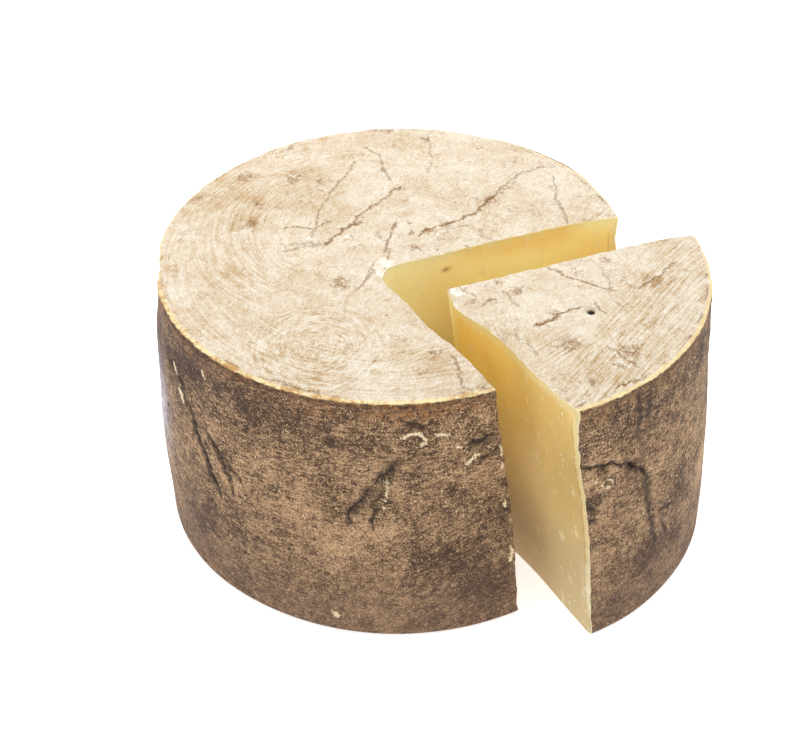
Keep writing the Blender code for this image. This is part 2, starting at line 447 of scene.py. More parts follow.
def rind_marks(points, spread=0.0):
    """The rind at points at home. sink is how far it goes in, crack and offset are the strength and the
    signed distance of the nearest crack, and tone is lighter or darker. Spread widens every mark."""
    names = ("sink", "crack", "stain", "flake", "tone")
    marks = {name: np.zeros(len(points)) for name in names}
    marks["offset"] = np.full(len(points), 9.0)
    run = from_rim(points)
    worn = 0.75 + 0.55 * ripple(points, 5.0, 3, octaves=2)
    wander = np.column_stack([ripple(points, 4.5, seed, octaves=2) for seed in (4, 5)]) * 1.3
    top = np.flatnonzero(run > -0.5)
    side = np.flatnonzero((run < 0.5) & (points[:, 2] > 2.0))
    plan = points[top, :2] + wander[top]
    wall = unrolled(points[side]) + wander[side]
    jobs = [(top, plan, mark, mark[2]) for mark in top_cracks]
    jobs += [(side, wall, mark, on_side(mark[2])) for mark in side_cracks]
    for where, flat, (depth, width, _), line in jobs:
        gap = gap_to_line(flat, line)
        width = width + spread
        groove = bell(gap, width) * worn[where].clip(0.1)
        lips = bell(np.abs(gap) - 2.4 * width, 1.1 * width) * 0.3
        marks["sink"][where] += (0.35 if where is top else 0.5) * depth * (groove - lips)
        reach = bell(gap, 2.4) * min(1.0, 0.2 + 0.8 * depth)
        nearer = reach > marks["crack"][where]
        marks["crack"][where] = np.where(nearer, reach, marks["crack"][where])
        marks["offset"][where] = np.where(nearer, gap, marks["offset"][where])
    for x, y, size in top_stains:
        spot = bell(np.hypot(plan[:, 0] - x, plan[:, 1] - y), size * 0.8)
        marks["stain"][top] = np.maximum(marks["stain"][top], spot)
    for x, y, size in top_flakes:
        spot = bell(np.hypot(plan[:, 0] - x, plan[:, 1] - y), size)
        marks["flake"][top] = np.maximum(marks["flake"][top], spot)
    for name, lines in (("flake", side_flakes), ("stain", side_smudges)):
        for width, line in lines:
            spot = bell(gap_to_line(wall, on_side(line)), width)
            marks[name][side] = np.maximum(marks[name][side], spot)
    for x, y, size, tone in top_tones:
        marks["tone"][top] += tone * bell(np.hypot(plan[:, 0] - x, plan[:, 1] - y), size)
    for angle, z, size, tone in side_tones:
        marks["tone"][side] += tone * bell(np.hypot(*(wall - on_side([(angle, z)])[0]).T), size)
    hole = bell(np.hypot(*(points[top, :2] - eye_on_top).T), 1.7 + spread)
    marks["sink"][top] += 3.0 * hole
    marks["crack"][top] = np.maximum(marks["crack"][top], hole)
    marks["offset"][top] = np.where(hole > 0.3, 0.0, marks["offset"][top])
    from_knot = np.hypot(*(wall - on_side([knot])[0]).T)
    marks["sink"][side] += 1.2 * bell(from_knot, 1.3 + spread) - 0.6 * bell(from_knot - 3.4, 1.3)
    torn = bell(from_knot, 10.0) * ripple(points[side], 3.0, 15).clip(0.0, 1.0)
    broken = fade(ripple(points[side], 3.2, 16), -0.1, 0.3)
    rings = np.maximum(0.8 * bell(from_knot - 2.6, 0.8), 0.75 * broken * bell(from_knot - 5.6, 0.8))
    marks["flake"][side] = np.maximum(marks["flake"][side], rings)
    marks["stain"][side] = np.maximum(marks["stain"][side], np.maximum(1.7 * torn, bell(from_knot, 1.2)))
    marks["sink"] -= 0.35 * marks["flake"]
    return marks


def weather(blank, inset=0.0, spread=0.0):
    """Moves the points of the blank along their normals, and by the inset further in."""
    points = read_points(blank)
    normals = read_points(blank, "normal")
    sink = rind_marks(points, spread)["sink"]
    run = from_rim(points)
    off_base = fade(points[:, 2], 0.2, 7.0)
    side = fade(-run, -1.0, 2.0) * off_base
    out = -sink * off_base
    out += side * (0.45 * ripple(points, 26.0, 7) + 0.22 * ripple(points, 7.0, 8, octaves=2))
    swell = 0.30 * ripple(points, 30.0, 9) + 0.07 * ripple(points, 5.0, 10, octaves=2)
    out += (1 - side) * off_base * swell
    out += bell(run, 3.0) * (0.35 * ripple(points, 9.0, 11) + 0.22 * ripple(points, 3.0, 12))
    from_knot = np.hypot(*(unrolled(points) - on_side([knot])[0]).T)
    out += side * bell(from_knot, 15.0) * 0.65 * ripple(points, 3.6, 13, octaves=2)
    moved = points + (out - inset)[:, None] * normals
    wall = unrolled(points)
    swollen = np.ones(len(points))
    for angle, z, size, stands_out in swells:
        swollen += stands_out / rim * bell(np.hypot(*(wall - on_side([(angle, z)])[0]).T), size)
    near_side = fade(np.hypot(points[:, 0], points[:, 1]), 0.75 * rim, 0.98 * rim)
    moved[:, :2] *= (1 + (swollen - 1) * near_side)[:, None]
    moved[:, 2] = moved[:, 2].clip(0.0, height - 0.05)
    reach = np.hypot(moved[:, 0], moved[:, 1])
    moved[:, :2] *= (np.minimum(reach, belly + 1.5) / np.maximum(reach, 1e-6))[:, None]
    write_points(blank, moved)
    return out


moved_by = weather(blank)
print(f"rind moved from {moved_by.min():.2f} to {moved_by.max():.2f} mm")

# %% [markdown]
# The rind and the paste under it take different finishes, so each is a closed piece of its own. The
# rind is a shell: the blank, with a second, coarser blank turned inside out within it. The same
# weathering is asked for there with wider marks, so the shell stays whole under the deepest crack.

# %% The rind's inner side, and the paste inside it
RIND = 1.2  # thickness of the rind
HAIR = 0.02  # kept clear between rind and paste
WIDER = 2.0  # how much wider each mark is on the inner side
COARSE = 3.6
COARSE_AROUND = 172


def join(first, second):
    """Makes the second object's faces part of the first object."""
    deselect_all()
    second.select_set(True)
    first.select_set(True)
    bpy.context.view_layer.objects.active = first
    bpy.ops.object.join()


core = turned_blank("core", wheel_outline(COARSE), COARSE_AROUND)
weather(core, inset=RIND + HAIR, spread=WIDER)
inner = turned_blank("inner", wheel_outline(COARSE), COARSE_AROUND)
weather(inner, inset=RIND, spread=WIDER)
edit_all(bpy.ops.mesh.flip_normals)
whole = blank.copy()
whole.data = blank.data.copy()
whole.name = "uncut"
join(blank, inner)
print(f"shell: {len(blank.data.polygons)} faces, core: {len(core.data.polygons)} faces")

# %% [markdown]
# ## The two cuts
# Each knife is a tall prism whose plan is the wedge. Its faces are not flat: a blade drags in firm
# cheese, so the face of a cut is faintly wavy and it crumbles where it breaks out through the rind.
# The notch's prism also has a torn, rounded inner corner. A Boolean then cuts with the prism, which
# leaves its wavy faces behind as the faces of the cut.

# %% The knives
KNIFE_REACH = 128.0  # well past the rind
KNIFE_MARGIN = 6.0  # and past the top and the base
KNIFE_STEP = 1.3


def plan_of_cut(corner_radius, reach, step):
    """The cut in plan: in along the front cut, round the inner corner and out along the back cut."""
    forward = Vector((math.cos(front_cut), math.sin(front_cut)))
    back = Vector((math.cos(back_cut), math.sin(back_cut)))
    bisector = (forward + back).normalized()
    centre = meets + bisector * (corner_radius / math.sin(opening / 2))
    setback = corner_radius / math.tan(opening / 2)
    along = np.arange(reach, setback, -step)
    arc = np.linspace(front_cut - math.pi / 2, back_cut + math.pi / 2 - math.tau, 9)[1:-1]
    points = [meets + forward * distance for distance in along]
    points += [centre + corner_radius * Vector((math.cos(turn), math.sin(turn))) for turn in arc]
    points += [meets + back * distance for distance in along[::-1]]
    points.append(meets + bisector * reach * 1.3)
    return points


def knife(name, corner_radius, lean, bulge):
    """A prism to cut with. bulge(along, depth, front) says how far its face stands out of true."""
    plan = plan_of_cut(corner_radius, KNIFE_REACH, KNIFE_STEP)
    tall = height + 2 * KNIFE_MARGIN
    count = round(tall / KNIFE_STEP)
    loop = [(i, (i + 1) % len(plan)) for i in range(len(plan))]
    blade = new_object(name, [(x, y, -KNIFE_MARGIN) for x, y in plan], loop)
    rise = blade.modifiers.new("rise", "SCREW")
    rise.angle = 0.0
    rise.screw_offset = tall
    rise.steps = count
    rise.render_steps = count
    bpy.ops.object.modifier_apply(modifier=rise.name)
    edit_all(bpy.ops.mesh.fill_holes, sides=0)
    edit_all(bpy.ops.mesh.normals_make_consistent, inside=False)
    bend_blade(blade, lean, bulge)
    return blade


def bend_blade(blade, lean, bulge):
    """Gives the blade's faces their bulges, and leans it along the back cut so that the front cut leans."""
    points = read_points(blade)
    depth = height - points[:, 2]
    offset = points[:, :2] - np.array(meets)
    moved = points[:, :2].copy()
    for angle, sign, front in ((front_cut, -1, True), (back_cut, 1, False)):
        along = offset @ [math.cos(angle), math.sin(angle)]
        outward = sign * np.array([-math.sin(angle), math.cos(angle)])
        inside = -(offset @ outward)
        share = bell(inside, 3.0) * fade(along, 0.0, 6.0) * (1 - fade(along, 116.0, 124.0))
        moved += (share * bulge(along, depth, front))[:, None] * outward
    slide = lean / math.sin(opening) / height
    moved += (slide * depth)[:, None] * np.array([math.cos(back_cut), math.sin(back_cut)])
    points[:, :2] = moved
    write_points(blade, points)


# %% The bulges of each cut
front_reach, back_reach = 91.0, 113.5  # from where the cuts meet to the rind


def crumble(along, depth, front, seed):
    """Small irregularities of a cut face, larger where it breaks out through the rind."""
    reach = front_reach if front else back_reach
    places = np.column_stack([along, depth, np.full(len(along), 3.0 * seed)])
    edge = bell(depth, 2.5) + bell(along - reach, 4.0)
    small = ripple(places, 3.4, seed) * (0.10 + 0.55 * edge)
    return small + 0.35 * ripple(places * [1.0, 0.6, 1.0], 22.0, seed + 1)


def notch_bulge(along, depth, front):
    """The wheel's side of the cuts. A positive bulge takes cheese away from the wheel."""
    out = crumble(along, depth, front, 21 if front else 23)
    if front:
        out += 1.5 * bell(along - 46, 11.0) * bell(depth, 25.0)
        out += 1.4 * fade(along, 70, 106) * fade(depth, 55, 120)
    else:
        out += 0.9 * bell(along - 33.5, 1.9) * bell(depth - 9.0, 1.2)
    return out


def wedge_bulge(along, depth, front):
    """The wedge's side. A positive bulge leaves cheese on the wedge."""
    out = crumble(along, depth, front, 25 if front else 27) - 0.3
    if front:
        out += 2.6 * fade(along, 40, 104) * fade(depth, 60, 120)
        swell = np.where(along < 14, bell(along - 14, 9.0), bell(along - 14, 15.0))
        out += 3.6 * swell * bell(depth, 80.0) + 0.9 * bell(along - 62, 10.0) * bell(depth, 40.0)
        out -= 2.4 * bell(along - front_reach - 2, 7.0) * bell(depth, 14.0)
    else:
        out += 1.7 * fade(along, 50, 105)
    return out


notch_knife = knife("notch_knife", 10.0, notch_lean, notch_bulge)
wedge_knife = knife("wedge_knife", 1.5, wedge_lean, wedge_bulge)
print(f"knives: {len(notch_knife.data.polygons)} and {len(wedge_knife.data.polygons)} faces")

# %% Cutting


def cut_from(blank, name, blade, operation):
    """A copy of the blank, cut by the blade. Material 0 stays rind and material 1 is the cut face."""
    piece = blank.copy()
    piece.data = blank.data.copy()
    piece.name = name
    bpy.context.collection.objects.link(piece)
    deselect_all()
    piece.select_set(True)
    bpy.context.view_layer.objects.active = piece
    cut = piece.modifiers.new("cut", "BOOLEAN")
    cut.object = blade
    cut.operation = operation
    cut.solver = "EXACT"
    bpy.ops.object.modifier_apply(modifier=cut.name)
    return piece


stand_ins = [bpy.data.materials.new(name) for name in ("rind", "paste")]
for item, index in ((blank, 0), (core, 1), (notch_knife, 1), (wedge_knife, 1)):
    for stand_in in stand_ins:
        item.data.materials.append(stand_in)
    item.data.polygons.foreach_set("material_index", [index] * len(item.data.polygons))
wheel_rind = cut_from(blank, "wheel_rind", notch_knife, "DIFFERENCE")
wheel_paste = cut_from(core, "wheel_paste", notch_knife, "DIFFERENCE")
wedge_rind = cut_from(blank, "wedge_rind", wedge_knife, "INTERSECT")
wedge_paste = cut_from(core, "wedge_paste", wedge_knife, "INTERSECT")
pieces = (
    (wheel_rind, "wheel", "rind"),
    (wheel_paste, "wheel", "paste"),
    (wedge_rind, "wedge", "rind"),
    (wedge_paste, "wedge", "paste"),
)
for piece, _, _ in pieces:
    print(f"{piece.name}: {len(piece.data.polygons)} faces")

# %% [markdown]
# ## What the materials need to know
# The shaders draw cracks finer than the mesh. Each point stores its signed distance to the nearest
# crack, and a distance stays true between points, so the shader can draw a hairline half a millimetre
# wide on faces three times that size. The cut faces store how deep under the rind they are.

# %% Values stored on the points


def write_value(piece, name, values):
    """One number for every point of the piece, which a material reads by this name."""
    layer = piece.data.attributes.new(name, "FLOAT", "POINT")
    layer.data.foreach_set("value", np.asarray(values, np.float32))


skin = bvhtree.BVHTree.FromPolygons(
    [vertex.co for vertex in whole.data.vertices], [face.vertices for face in whole.data.polygons]
)
for piece, _, slot in pieces:
    places = read_points(piece)
    under = [skin.find_nearest(Vector(place))[3] for place in places]
    write_value(piece, "under", under)
    if slot == "rind":
        for name, values in rind_marks(places).items():
            write_value(piece, name, values)
print("marks written for", len(pieces), "pieces")

# %% [markdown]
# ## Drawing the wedge out
# Up to here everything was at home. Now the wedge turns by a degree and slides out, the wheel slides
# the other way, and millimetres become metres. All of it happens in the meshes, so each object stays
# at the origin.

# %% Final places
final_places = {
    "wheel": Matrix.Translation((axis_x, 0, 0)),
    "wedge": Matrix.Translation((drawn_out / 2, 0, 0)) @ Matrix.Rotation(wedge_turn, 4, "Z"),
}
for piece, node, _ in pieces:
    piece.data.transform(Matrix.Scale(1 / MM, 4) @ final_places[node])
    deselect_all()
    piece.select_set(True)
    bpy.context.view_layer.objects.active = piece
    bpy.ops.object.shade_smooth_by_angle(angle=math.radians(38))
for spare in (blank, core, whole, notch_knife, wedge_knife):
    bpy.data.objects.remove(spare, do_unlink=True)
print("placed", [piece.name for piece, _, _ in pieces])

# %% [markdown]
# ## Shader arithmetic
# A material here is mostly sums: distance from the rim, angle round a brush stroke, strength of a
# crack. A socket wrapped in a small class can be written into ordinary arithmetic, which is easier to
# read than a list of links.

# %% A socket that does sums


class Value:
    """A socket in a material's node tree. Arithmetic on it adds the Math nodes that it needs."""

    def __init__(self, socket):
        self.socket = socket

    def node(self, kind, settings, inputs, output=0):
        """Adds any node to the same tree: settings first, then each input is set or linked."""
        tree = self.socket.id_data
        made = tree.nodes.new(kind)
        for name, value in settings.items():
            setattr(made, name, value)
        for key, value in inputs.items():
            if isinstance(value, Value):
                tree.links.new(value.socket, made.inputs[key])
            else:
                made.inputs[key].default_value = value
        return Value(made.outputs[output])

    def math(self, operation, *others):
        """A Math node with this socket as its first number."""
        return self.node("ShaderNodeMath", {"operation": operation}, dict(enumerate((self, *others))))

    def __add__(self, other):
        return self.math("ADD", other)

    def __sub__(self, other):
        return self.math("SUBTRACT", other)

    def __rsub__(self, other):
        return self.node("ShaderNodeMath", {"operation": "SUBTRACT"}, {0: other, 1: self})

    def __mul__(self, other):
        return self.math("MULTIPLY", other)

    def __truediv__(self, other):
        return self.math("DIVIDE", other)

    def __pow__(self, other):
        return self.math("POWER", other)

    def least(self, other):
        """The smaller of the two."""
        return self.math("MINIMUM", other)

    def fade(self, low, high):
        """0 at low and 1 at high, with a smooth step between. Low may be above high."""
        settings = {"interpolation_type": "SMOOTHSTEP"}
        if low < high:
            return self.node("ShaderNodeMapRange", settings, {0: self, 1: low, 2: high})
        return 1.0 - self.node("ShaderNodeMapRange", settings, {0: self, 1: high, 2: low})

    def bell(self, middle, width):
        """1 in the middle, fading out over about two widths."""
        away = (self - middle) * (1.0 / width)
        return (away * away * -1.0).math("EXPONENT")

    __radd__ = __add__
    __rmul__ = __mul__


def colour(red, green, blue):
    """A colour written as on a screen, from 0 to 255, as the linear numbers that a shader wants."""
    shares = [part / 255 for part in (red, green, blue)]
    linear = [s / 12.92 if s <= 0.04045 else ((s + 0.055) / 1.055) ** 2.4 for s in shares]
    return (*linear, 1.0)


def blend(low, high, share):
    """The first colour where share is 0, the second where it is 1."""
    return share.node("ShaderNodeMix", {"data_type": "RGBA"}, {0: share, 6: low, 7: high}, output=2)


def coats(base, *layers):
    """Lays colours over a base in turn. Each layer is (red, green, blue) and how much of it shows."""
    for shade, share in layers:
        base = blend(base, colour(*shade), share)
    return base


def clouds(place, size, stretch=(1.0, 1.0, 1.0), detail=2.0, roughness=0.5, seed=0.0):
    """Soft noise from 0 to 1, in patches of about this many millimetres."""
    scale = [share / size for share in stretch]
    inputs = {0: place, 1: scale, 2: [seed] * 3}
    scaled = place.node("ShaderNodeVectorMath", {"operation": "MULTIPLY_ADD"}, inputs)
    inputs = {"Vector": scaled, "Scale": 1.0, "Detail": detail, "Roughness": roughness}
    return scaled.node("ShaderNodeTexNoise", {}, inputs)


# %% Starting a material


def new_material(name, place):
    """A material, its Principled shader, and a Value giving each point's place at home, in millimetres."""
    material = bpy.data.materials.new(name)
    material.use_nodes = True
    tree = material.node_tree
    shader = tree.nodes["Principled BSDF"]
    seen = Value(tree.nodes.new("ShaderNodeTexCoord").outputs["Object"])
    back = place.inverted()
    inputs = {"Vector": seen, "Location": back.translation, "Rotation": back.to_euler(), "Scale": [MM] * 3}
    return material, shader, seen.node("ShaderNodeMapping", {"vector_type": "POINT"}, inputs)


def split(place):
    """The three numbers of a vector."""
    return [place.node("ShaderNodeSeparateXYZ", {}, {0: place}, output=i) for i in range(3)]


def stored(place, name):
    """A number that was written on the points."""
    return place.node("ShaderNodeAttribute", {"attribute_name": name}, {}, output="Fac")


def connect(value, shader, socket):
    """Links a Value to one of the shader's sockets."""
    value.socket.id_data.links.new(value.socket, shader.inputs[socket])


def bump(height_value, distance):
    """A normal from heights. The distance is in metres, as the pieces are."""
    inputs = {"Height": height_value, "Distance": distance}
    return height_value.node("ShaderNodeBump", {}, inputs)


# %% [markdown]
# ## The rind
# One rind goes round the whole cheese. Its top is painted pale straw and its side brown, but the top's
# paleness is painted light from above on the same rind as the side. The top has fine tan bristle marks
# in arcs, and the side is speckled like bark. Where they meet is a waxy amber edge, rubbed thin on the
# left.

# %% Strokes of a brush


def arcs(place, x, y, about, size=1.2):
    """Streaks that run in arcs about a centre in plan."""
    across = (x - about[0]) * (x - about[0]) + (y - about[1]) * (y - about[1])
    radius = across**0.5
    turn = (y - about[1]).math("ARCTAN2", x - about[0])
    polar = place.node("ShaderNodeCombineXYZ", {}, {0: radius / size, 1: turn * 3.0, 2: 0.0})
    return clouds(polar, 1.0, detail=2.0, roughness=0.6, seed=about[0]), radius


def strokes(place, x, y, degrees, size=1.1):
    """Streaks that run straight, along a direction in plan."""
    along = (math.cos(math.radians(degrees)), math.sin(math.radians(degrees)))
    forward = x * along[0] + y * along[1]
    across = y * along[0] - x * along[1]
    turned = place.node("ShaderNodeCombineXYZ", {}, {0: forward / (14.0 * size), 1: across / size, 2: 0.0})
    return clouds(turned, 1.0, detail=2.0, roughness=0.6, seed=degrees)


def near(x, y, about, size):
    """1 at a place in plan, fading away from it."""
    apart = (x - about[0]) * (x - about[0]) + (y - about[1]) * (y - about[1])
    return (apart * (-1.0 / size**2)).math("EXPONENT")


# %% Bristle marks


def bristle_marks(place, x, y):
    """Streaks from about -1 to 1, each field of strokes with its own direction."""
    left, left_radius = arcs(place, x, y, (-22.0, 8.0))
    left_broad, _ = arcs(place, x, y, (-22.0, 8.0), size=3.6)
    around, around_radius = arcs(place, x, y, (0.0, 0.0))
    swirl, swirl_radius = arcs(place, x, y, (0.0, -72.0), size=1.3)
    in_left = x.fade(-22.0, -40.0) * left_radius.fade(20.0, 32.0) * left_radius.fade(78.0, 66.0)
    in_left = in_left * (1.0 - y.fade(14.0, 46.0) * 0.65)
    in_around = around_radius.fade(62.0, 72.0) * (x + y).fade(30.0, -20.0)
    in_swirl = swirl_radius.fade(34.0, 24.0)
    fields = [
        (left, in_left, 0.95),
        (left_broad, in_left, 0.4),
        (around, in_around * (1.0 - in_left), 0.9),
        (swirl, in_swirl, 1.3),
        (strokes(place, x, y, 50.0), near(x, y, (36.0, -68.0), 20.0), 1.2),
        (strokes(place, x, y, 82.0), x.fade(56.0, 70.0), 1.5),
        (strokes(place, x, y, 70.0), near(x, y, (56.0, -32.0), 12.0), 2.0),
        (strokes(place, x, y, -41.0), near(x, y, (76.0, -22.0), 11.0), 1.3),
        (strokes(place, x, y, -55.0), near(x, y, (30.0, -26.0), 14.0), 1.0),
        (strokes(place, x, y, 62.0), near(x, y, (20.0, 60.0), 34.0), 0.6),
    ]
    total = 0.0
    for streaks, where, strength in fields:
        total = (streaks - 0.5) * where * strength + total
    return total


# %% [markdown]
# Top, side and edge are made of the same few noises, from a fine speckle to broad patches, and of the
# values stored on the points. They are set out once here, so that a dark speck on the top carries on
# over the edge. The noise that is added to a crack's distance makes its hairline wander.

# %% What the whole rind shares


def shared_by_rind(place):
    """The noises and marks that the top, the side and the edge all use."""
    rind = SimpleNamespace(place=place)
    rind.x, rind.y, rind.z = split(place)
    for mark in ("crack", "offset", "stain", "flake", "tone"):
        setattr(rind, mark, stored(place, mark))
    radius = (rind.x * rind.x + rind.y * rind.y) ** 0.5
    rind.run = (rim - radius) - (rim_height - rind.z)
    crept_in = (rind.y / rim).least(0.0) * 2.3  # at the front the side's brown has crept over the brim
    rind.ragged = rind.run + crept_in + (clouds(place, 3.0, detail=3.0) - 0.5) * 2.4
    rind.speck = clouds(place, 0.72, detail=2.0, roughness=0.7)
    rind.grain = clouds(place, 2.6, detail=3.0, roughness=0.65, seed=4.0)
    rind.mottle = clouds(place, 9.0, detail=3.0, roughness=0.6, seed=7.0)
    rind.crumbs = clouds(place, 1.5, detail=2.0, roughness=0.6, seed=21.0)
    rind.rough = (rind.speck - 0.5) * 1.6 + (rind.grain - 0.5) * 1.5
    wiggle = rind.offset + (clouds(place, 2.2, detail=2.0, seed=2.0) - 0.5) * 2.4
    thick = clouds(place, 5.0, detail=2.0, seed=23.0).fade(0.3, 0.75) * 1.4 + 0.4
    rind.hairline = (wiggle / thick).bell(0.0, 0.38) * rind.crack * rind.crumbs.fade(0.36, 0.56)
    rind.halo = wiggle.bell(0.0, 1.7) * rind.crack
    rind.lip = wiggle.bell(1.9, 0.7) * rind.crack * rind.crumbs.fade(0.5, 0.62)
    return rind


# %% The straw top


def painted_lit_top(rind, bristles):
    """The colour of the top: pale straw, which is painted light from above, with tan bristle marks, stains,
    chalky patches and cracks.
    """
    place, x, y = rind.place, rind.x, rind.y
    speck, grain, mottle = rind.speck, rind.grain, rind.mottle
    broad = clouds(place, 30.0, detail=2.0, seed=11.0)
    fibres = clouds(place, 1.0, stretch=(1.0, 0.4, 1.0), detail=3.0, roughness=0.7, seed=17.0)
    shade = bristles * 1.25 + (speck - 0.5) * 1.5 + (grain - 0.5) * 1.0 + (fibres - 0.5) * 1.0
    shade = shade + (mottle - 0.5) * 0.8 + (broad - 0.5) * 0.6 - rind.tone * 0.24 + 0.05
    marked = (bristles * 1.3 + grain + speck * 0.5 - rind.tone * 0.12 - 0.98).fade(0.0, 0.3)
    patchy = clouds(place, 4.5, detail=4.0, roughness=0.72, seed=35.0).fade(0.55, 0.70)
    scribble = clouds(place, 12.0, detail=3.0, roughness=0.6, seed=31.0).bell(0.5, 0.009)
    stained = rind.stain + (grain - 0.5) * 1.5 + (speck - 0.5) * 1.4 + (fibres - 0.5) * 0.8
    stained = stained.fade(0.45, 1.15)
    band = (rind.halo * 1.15 + rind.rough).fade(0.35, 1.1) * rind.halo.fade(0.05, 0.4)
    pale = (grain * 0.6 + speck * 0.5).fade(0.58, 0.74) * (1.0 - stained)
    chalky = (rind.flake + (rind.crumbs - 0.5) * 1.8).fade(0.55, 0.95)
    spotted = rind.run.fade(11.0, 1.0) * x.fade(-40.0, -75.0) * (mottle + grain - 0.9).fade(0.0, 0.4)
    spill = (mottle * 1.3 + grain * 0.9 - 1.12).fade(0.0, 0.3) * rind.run.fade(8.0, 3.5)
    spill = spill * x.fade(70.0, 30.0) * y.fade(0.0, -40.0)
    seam = (mottle * 1.2 + grain * 0.5 - 0.86).fade(0.0, 0.2)
    seam = seam * (rind.ragged + (speck - 0.5) * 0.6).bell(1.9, 0.55)
    return coats(
        # the pale straw base is painted light: the same rind as the side, painted paler for the light from
        # above
        blend(colour(227, 219, 203), colour(168, 128, 58), shade.fade(-0.62, 1.05)),
        ((150, 111, 60), marked * 0.55),
        ((166, 130, 78), patchy * (mottle * 1.6 - 0.35).least(0.5)),
        ((146, 106, 66), scribble * clouds(place, 15.0, seed=33.0).fade(0.48, 0.62) * 0.6),
        ((136, 98, 60), stained * 0.7),
        ((154, 110, 52), band * 0.75),
        ((238, 232, 217), pale * 0.6),
        ((240, 235, 222), rind.lip * 0.8),
        ((244, 239, 226), chalky * 0.75),
        ((116, 76, 38), rind.hairline * (rind.crack * 0.8 + 0.05) * 0.42),
        ((190, 140, 74), spotted * 0.5),
        ((204, 156, 82), spill * 0.6),
        ((112, 84, 66), seam * 0.7),
        # near-black painted shade inside the small hole in the wedge's top
        ((46, 36, 32), near(x, y, eye_on_top, 1.7).fade(0.25, 0.6) * 0.95),
    )


# %% [markdown]
# The side was brushed too, level on the wheel and slanting low on the wedge, so its speckle is drawn
# out along the strokes. Dark pits and pale grains go over it, and it turns greyer towards the base.
# Then come the things that happened to it: wax that ran from the edge, torn cracks, smudges and loose
# flakes. A painted bluish sheen, a painted reflection of the white room, lies on the far left.

# %% The brown side


def side_brushing(rind):
    """Streaks along the brush strokes of the side, from 0 to 1."""
    x, y, z = rind.x, rind.y, rind.z
    level = clouds(rind.place, 1.0, stretch=(0.22, 0.22, 1.0), detail=3.0, roughness=0.7, seed=5.0)
    slope = x.node("ShaderNodeCombineXYZ", {}, {0: x + y * 0.5, 1: z - x * 0.7, 2: y})
    slanted = clouds(slope, 1.0, stretch=(0.2, 1.0, 0.2), detail=3.0, roughness=0.7, seed=6.0)
    slants = near(x, y, (62.0, -80.0), 42.0) * z.fade(84.0, 50.0)
    return level * (1.0 - slants) + slanted * slants


def brown_side(rind, brushed):
    """The colour of the side."""
    x, y, z, run, tone, halo = rind.x, rind.y, rind.z, rind.run, rind.tone, rind.halo
    speck, grain, mottle, crumbs, rough = rind.speck, rind.grain, rind.mottle, rind.crumbs, rind.rough
    fine = clouds(rind.place, 0.5, detail=2.0, roughness=0.7, seed=29.0)
    dark = (speck - 0.5) * 2.4 + (fine - 0.5) * 2.2 + (grain - 0.5) * 1.3
    dark = dark + (brushed - 0.5) * 2.6 + (mottle - 0.5) * 1.5
    dark = dark + tone * 0.32 - z.fade(92.0, 108.0) * 0.22
    pits = (grain * 0.35 + crumbs * 0.4 + fine * 0.35 + tone * 0.05).fade(0.51, 0.39)
    bright = (speck * 0.6 + crumbs * 0.5 + tone * 0.03).fade(0.60, 0.72)
    wax_run = run.bell(-5.0, 3.5) * (grain + mottle - 0.75).fade(0.1, 0.5)
    under_edge = rind.ragged.bell(-2.9, 1.3) * (grain + speck - 0.85).fade(0.0, 0.3)
    drips = near(x, y, (47.0, -88.0), 15.0) * run.fade(-13.0, -4.0) * (grain + crumbs - 0.85).fade(0.0, 0.3)
    torn = (halo * 0.9 + rough * 1.9).fade(0.2, 1.0) * halo.fade(0.04, 0.35)
    smudged = (rind.stain + rough * 2.2 + (mottle - 0.5) * 0.8).fade(0.3, 1.1)
    # painted bluish sheen: a painted reflection of the white room at a grazing angle on the far left of the
    # side
    painted_sheen = near(x, y, (-84.0, -58.0), 15.0) * z.bell(62.0, 20.0) * (brushed + grain - 0.75).fade(0.0, 0.3)
    flaked = (rind.flake + (crumbs - 0.5) * 1.7 + (speck - 0.5) * 0.6).fade(0.5, 0.8)
    return coats(
        blend(colour(64, 42, 26), colour(184, 148, 110), dark.fade(-0.66, 0.94)),
        ((44, 30, 20), pits * 0.75),
        ((214, 186, 148), bright * 0.75),
        # greyer towards the base
        ((98, 74, 62), z.fade(56.0, 6.0) * 0.4),
        ((146, 96, 48), wax_run * 0.4),
        ((92, 58, 32), under_edge * 0.75),
        ((160, 106, 48), drips * 0.45),
        ((50, 36, 25), torn * 0.85),
        ((206, 178, 138), rind.lip * 0.7),
        ((44, 32, 23), smudged * rind.stain.fade(0.03, 0.4) * 0.85),
        ((204, 198, 210), painted_sheen * 0.85),
        ((32, 23, 17), rind.hairline * 0.6),
        ((226, 206, 168), flaked * rind.flake.fade(0.1, 0.4) * 0.85),
    )


# %% [markdown]
# Top and side meet along a ragged line. The waxy edge lies on it, cream where it was rubbed thin and
# amber where it is thick. Last come the fine relief, which is only bump, and the dull sheen.

# %% The rind's material


